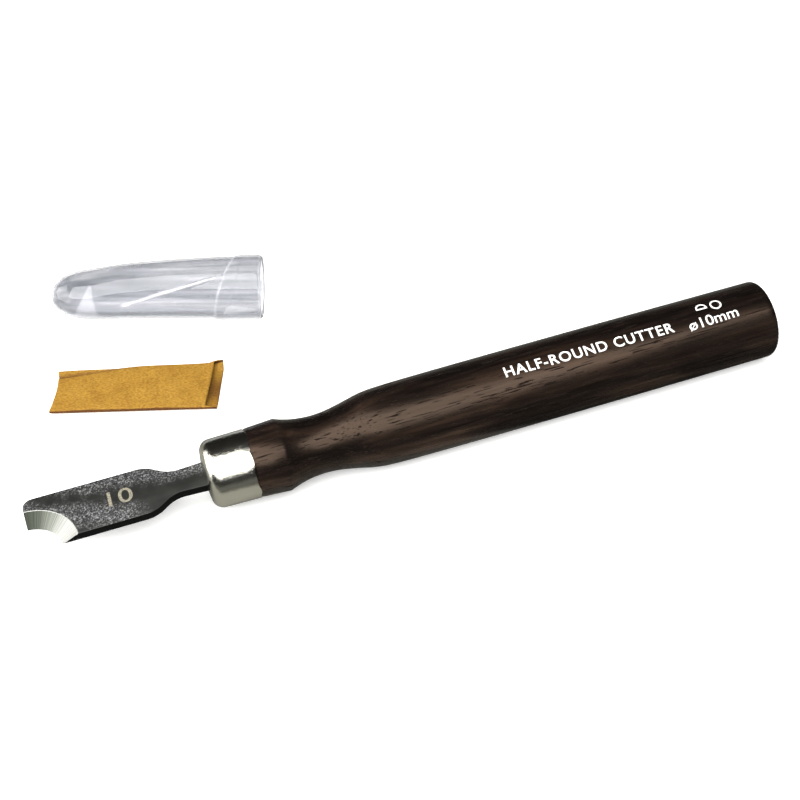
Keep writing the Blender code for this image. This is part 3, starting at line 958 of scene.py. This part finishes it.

# %% [markdown]
# ## Clear vinyl
#
# Soft PVC is clear with a faint cool grey, and its surface carries drawn streaks along the cap.
# Light goes through it, bends a little and picks up the streaks. Low on the cap its colour is made
# darker towards the bottom, which is painted shade. Where soft PVC has been creased it turns white.
# The cap's own attribute says this for each of its points, and also holds painted highlights at the
# collar's step and the rim and a painted reflection in a patch near the tip. The streaks are 60
# times as long as they are wide, in a space that is turned with the cap.

# %% Clear vinyl
def clear_vinyl():
    vinyl, add, shader, place = new_finish("clear_soft_vinyl", IOR=1.36, Specular_IOR_Level=0.1)
    own = add("Mapping", {
        "vector_type": "TEXTURE", "Location": cap_mouth, "Rotation": (0, 0, CAP_TURN), "Scale": (60, 1, 1)},
        {"Vector": place})
    streaks = add("TexNoise", {"Scale": per(0.7 * MM), "Detail": 3.0, "Roughness": 0.7}, {"Vector": own})
    tone = add("ValToRGB", {"stops": [(0.36, "B3B5B7"), (0.64, "D6D5D9")]}, {"Fac": streaks})
    flow = add("TexNoise", {"Scale": per(2.6 * MM), "Detail": 2.0}, {"Vector": own})
    bands = add("ValToRGB", {"stops": [(0.36, "DADCDE"), (0.54, "FFFFFF")]}, {"Fac": flow})
    banded = add("Mix", MULTIPLY, {6: tone, 7: bands})
    heights = add("SeparateXYZ", links={0: place})
    # painted shade: the colour is darker towards the bottom of the cap
    painted_low_shade = add(
        "MapRange",
        {"From Min": TABLE + 1.5 * MM, "From Max": TABLE + 6.5 * MM, "To Min": 0.84, "To Max": 1.0},
        {"Value": heights.outputs["Z"]})
    shaded_low_tone = add("VectorMath", {"operation": "SCALE"}, {0: banded, "Scale": painted_low_shade})
    haze = add(
        "MapRange", {"From Min": 0.3, "From Max": 0.7, "To Min": 0.05, "To Max": 0.12}, {"Value": streaks})
    drawn = add("Bump", {"Strength": 0.3, "Distance": 0.01 * MM}, {"Height": streaks})
    white = add("Attribute", {"attribute_name": "whitening"})
    # whitens the creased vinyl, and paints its highlights and its reflection
    whitened_and_highlit = add("Mix", {"data_type": "RGBA", 7: "D2D1D5"}, {0: white.outputs["Fac"], 6: shaded_low_tone})
    clear = add("MapRange", {"To Min": 1.0, "To Max": 0.15}, {"Value": white.outputs["Fac"]})
    feed(shader, Base_Color=whitened_and_highlit, Transmission_Weight=clear, Roughness=haze, Normal=drawn)
    return vinyl


cap.data.materials.append(clear_vinyl())

# %% [markdown]
# ## Paper sleeve
#
# The sleeve is a strip of brown kraft paper folded into a flat tube. By hand, nothing comes out
# square: the tube tapers, its upper layer is cut shorter than the lower one at the mouth, one end
# is slightly hollow, a pinch runs beside the far fold, and the far corner of the mouth curls up.
# It begins as the same kind of unit tube, which one function flattens, trims, pinches and curls.
# A second one says where shade is painted, along both folds, in the pinch and on the lower layer at
# the mouth, as the "shade" attribute of each point.
#
# Bright nickel shows everything near it, and an orange patch on it would be taken for brass, so
# the sleeve is hidden from reflections.

# %% Sleeve shape
SLEEVE_LENGTH = 28.7
SLEEVE_TIP_WIDTH, SLEEVE_MOUTH_WIDTH = 9.5, 10.7
SLEEVE_HEIGHT = 1.6
PAPER = 0.14
UPPER_SHORT = 1.7
PINCH_DEPTH, PINCH_WIDTH = 0.62, 0.38
CURL_RISE, CURL_IN = 0.75, 0.25
CORNER = 0.75                 # a power below 1 crowds the points towards the folds
sleeve_axis = Vector(joints["sleeve_push"]["axis"])
SLEEVE_TURN = math.atan2(sleeve_axis.y, sleeve_axis.x)
sleeve_low, sleeve_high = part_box("sleeve")
sleeve_middle = (sleeve_low + sleeve_high) / 2


def sleeve_half_width(share):
    """Half the width at this share of the length, from the tip's end to the mouth."""
    return (SLEEVE_TIP_WIDTH + (SLEEVE_MOUTH_WIDTH - SLEEVE_TIP_WIDTH) * share) / 2 - 0.05


def pinch_line(share):
    """How far from the middle the pinch runs: it starts beside the far fold and meets it further on."""
    return sleeve_half_width(share) - 1.4 + 3.2 * share


def sleeve_point(station, angle):
    """The place of a point of the sleeve, in its own frame, in millimetres."""
    share = station / SLEEVE_LENGTH + 0.5
    c, s = math.cos(angle), math.sin(angle)
    across_share = math.copysign(abs(c) ** CORNER, c)
    y = across_share * sleeve_half_width(share)
    puff = 0.62 + 0.2 * math.sin(2.6 * share + 0.4) - 0.12 * math.cos(7 * share)
    fold = math.copysign(min(abs(s) ** 0.45, 1.0), s)
    z = fold * SLEEVE_HEIGHT / 2 * (puff if s > 0 else 1.0) * (0.86 if s > 0 else 0.95)
    if s > 0:    # the upper layer is pinched and cockled
        pinch = math.exp(-((y - pinch_line(share)) / PINCH_WIDTH) ** 2) * (1 - ease(share, 0.12, 0.5))
        z -= PINCH_DEPTH * pinch
        z += 0.10 * math.sin(1.3 * station + 0.8 * y) * (1 - abs(across_share)) * 0.5
        z += 0.06 * math.sin(0.45 * station - 1.1 * y)
    x = station
    curl = ease(share, 0.93, 1.0) * ease(across_share, 0.72, 1.0)
    z += CURL_RISE * curl
    y -= CURL_IN * curl
    mouth = ease(share, 0.8, 1.0)
    upper = ease(s, 0.05, 0.5)
    x -= UPPER_SHORT * mouth * upper * (1.0 - 0.12 * across_share)
    x -= mouth * 0.35 * (1 - across_share) * 0.5
    # the other end is hollow, and cut a little askew
    tip = 1 - ease(share, 0.0, 0.2)
    x += tip * 0.55 * (1 - (across_share + 0.15) ** 2)
    x += tip * 0.4 * (1 + across_share) * 0.5
    return Vector((x, y, z))


def fold_shade(station, angle):
    """Painted shade: dark along both folds, in the pinch and where the lower layer shows."""
    share = station / SLEEVE_LENGTH + 0.5
    c, s = math.cos(angle), math.sin(angle)
    fold = ease(abs(c), 0.97, 0.995)
    lower = ease(share, 0.9, 0.94) * ease(-s, 0.1, 0.3)
    tongue = lower * 0.75 * math.exp(-((c + 0.1) / 0.45) ** 2)
    y = math.copysign(abs(c) ** CORNER, c) * sleeve_half_width(share)
    groove = math.exp(-((y - pinch_line(share) + 0.1) / 0.34) ** 2)
    groove *= (1 - ease(share, 0.1, 0.5)) * ease(s, 0.0, 0.1)
    return max(0.9 * fold, tongue, 0.95 * groove)


sleeve_rings = [SLEEVE_LENGTH * (i / 90 - 0.5) for i in range(91)]
shape, _ = unit_tube(sleeve_rings, 120)
fold_layer = shape.verts.layers.float.new("shade")
for vert in shape.verts:
    angle = math.atan2(vert.co.z, vert.co.y)
    vert[fold_layer] = fold_shade(vert.co.x, angle)
    vert.co = sleeve_point(vert.co.x, angle) * MM
rest_level = TABLE - min(vert.co.z for vert in shape.verts) + 0.01 * MM
sleeve_place = Matrix.Translation((sleeve_middle.x, sleeve_middle.y, rest_level))
sleeve_place @= Matrix.Rotation(SLEEVE_TURN, 4, "Z")
bmesh.ops.transform(shape, verts=shape.verts, matrix=sleeve_place)
bmesh.ops.recalc_face_normals(shape, faces=shape.faces)
sleeve = add_piece("sleeve_folded_paper", shape, "sleeve_body", "sleeve")
sleeve.data.shade_smooth()
sleeve.visible_glossy = False
add_wall(sleeve, PAPER)

# %% [markdown]
# ## Kraft paper
#
# Unbleached kraft is amber brown and cloudy, because the fibres clump. Close up it has short
# fibres and small darker specks. It is matt and slightly fuzzy, so its bump is fine and shallow.
# The "shade" attribute multiplies in a darker brown there, as painted shade.

# %% Kraft paper
def kraft_paper():
    paper, add, shader, place = new_finish("amber_kraft_paper", Roughness=0.8, Specular_IOR_Level=0.25)
    own = add("Mapping", {
        "vector_type": "TEXTURE", "Location": sleeve_middle, "Rotation": (0, 0, SLEEVE_TURN),
        "Scale": (1.5, 1, 1)}, {"Vector": place})
    clouds = add("TexNoise", {"Scale": per(3.0 * MM), "Detail": 5.0, "Roughness": 0.65}, {"Vector": own})
    along = add("Mapping", {"Scale": (0.7, 1, 1)}, {"Vector": own})
    fibres = add("TexNoise", {"Scale": per(0.2 * MM), "Detail": 3.0, "Roughness": 0.6}, {"Vector": along})
    tone = add("ValToRGB", {"stops": [(0.3, "8E6720"), (0.5, "957025"), (0.7, "9B762B")]}, {"Fac": clouds})
    flecked = add("ValToRGB", {"stops": [(0.34, "C8BCA8"), (0.62, "FFFFFF")]}, {"Fac": fibres})
    colour = add("Mix", MULTIPLY, {6: tone, 7: flecked})
    shade = add("Attribute", {"attribute_name": "shade"})
    # painted shade: a darker brown along the folds, in the pinch and on the lower layer at the mouth
    painted_shade_colour = add(
        "Mix", {"data_type": "RGBA", "blend_type": "MULTIPLY", 7: "8C6840"},
        {0: shade.outputs["Fac"], 6: colour})
    fuzz = add("Bump", {"Strength": 0.8, "Distance": 0.02 * MM}, {"Height": fibres})
    cockle = add("Bump", {"Strength": 0.8, "Distance": 0.05 * MM}, {"Height": clouds, "Normal": fuzz})
    feed(shader, Base_Color=painted_shade_colour, Normal=cockle)
    return paper


sleeve.data.materials.append(kraft_paper())
